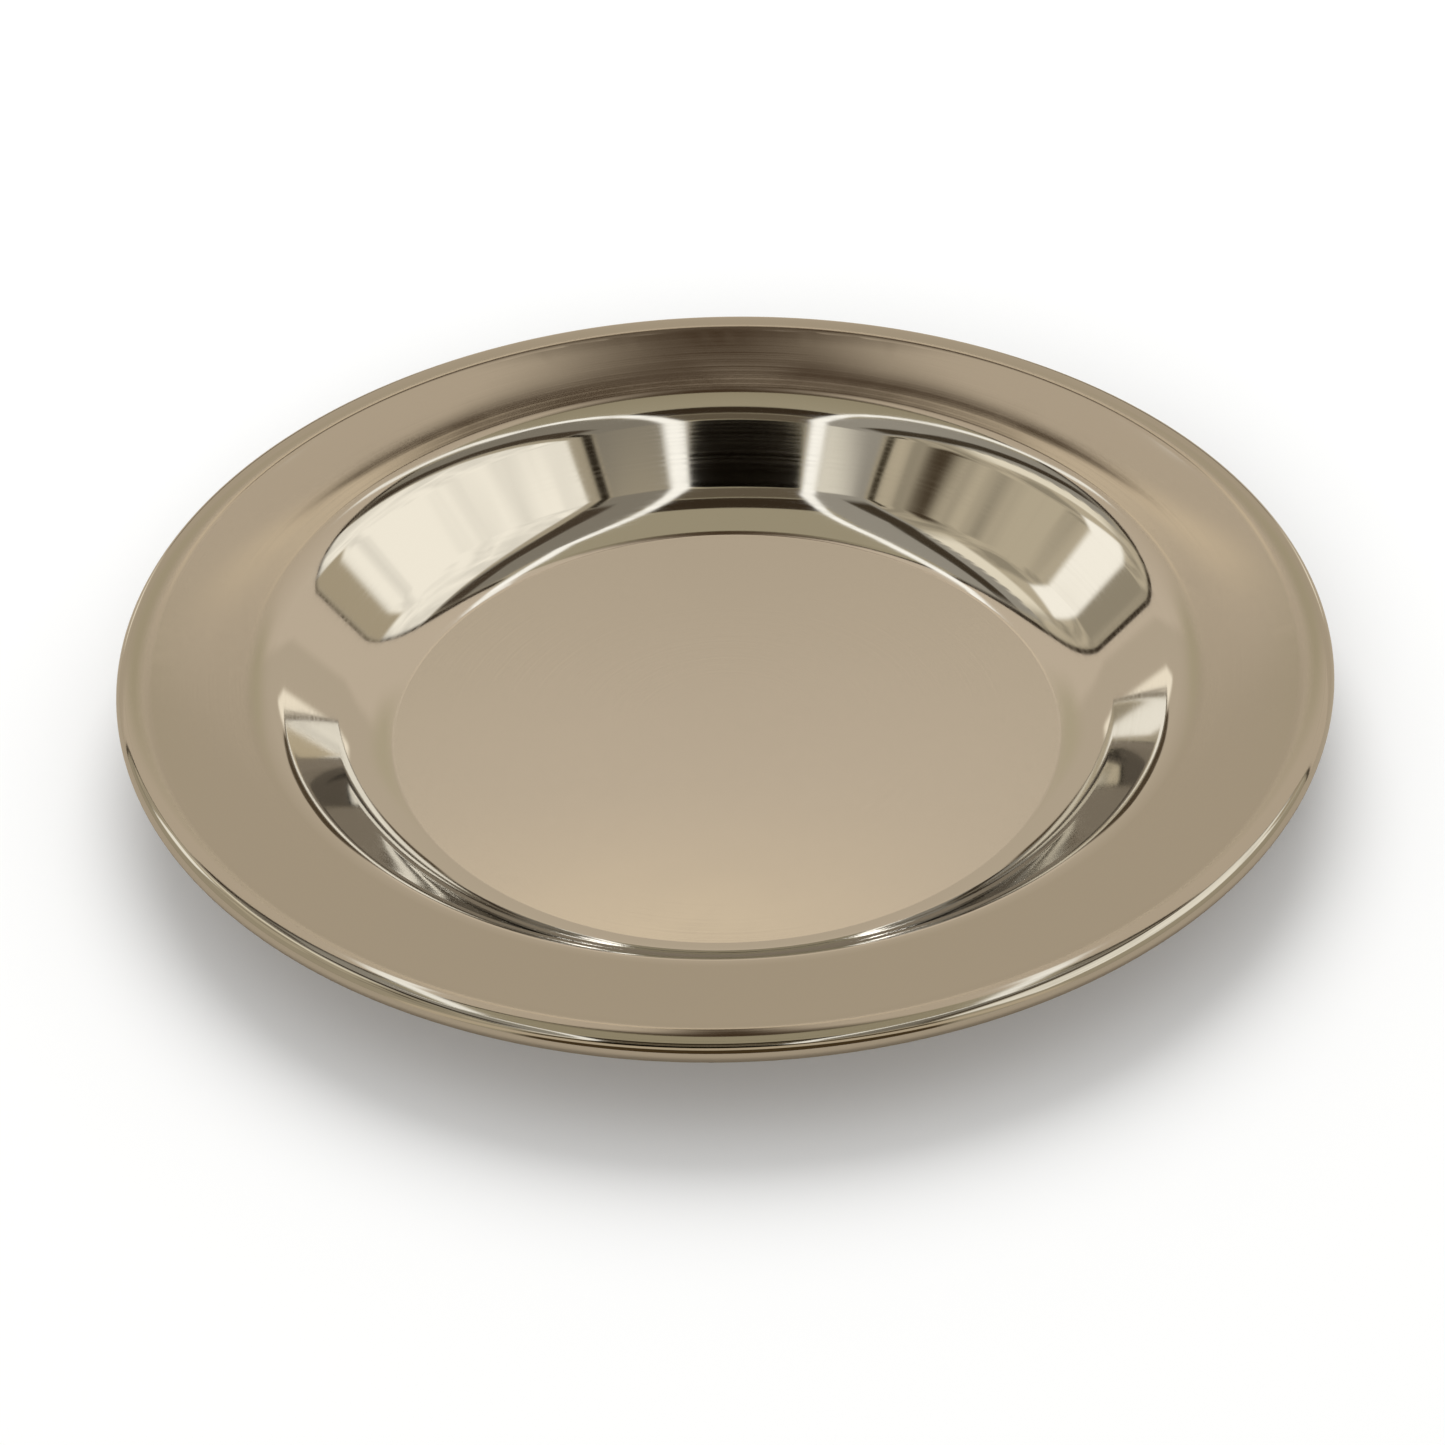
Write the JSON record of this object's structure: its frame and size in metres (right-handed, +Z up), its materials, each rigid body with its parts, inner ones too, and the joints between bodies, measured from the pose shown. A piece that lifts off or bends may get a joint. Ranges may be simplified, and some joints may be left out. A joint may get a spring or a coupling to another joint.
{
  "type": "paten plate",
  "caption": "Round shallow plate for altar bread, with a wide flange, a dished well with a flat floor, and a rolled edge.",
  "frame": {"origin": "middle of the flat underside, on the surface that the plate stands on", "axes": "+Z up along the plate's axis, out of the well; the plate is round, so X and Y are free"},
  "size_m": [0.15, 0.15, 0.0137],
  "materials": {
    "silver_plate": "polished",
    "iron_wire": "satin"
  },
  "bodies": {
    "root": {"spun_plate": "silver_plate", "rim_wire": "iron_wire"}
  },
  "joints": []
}
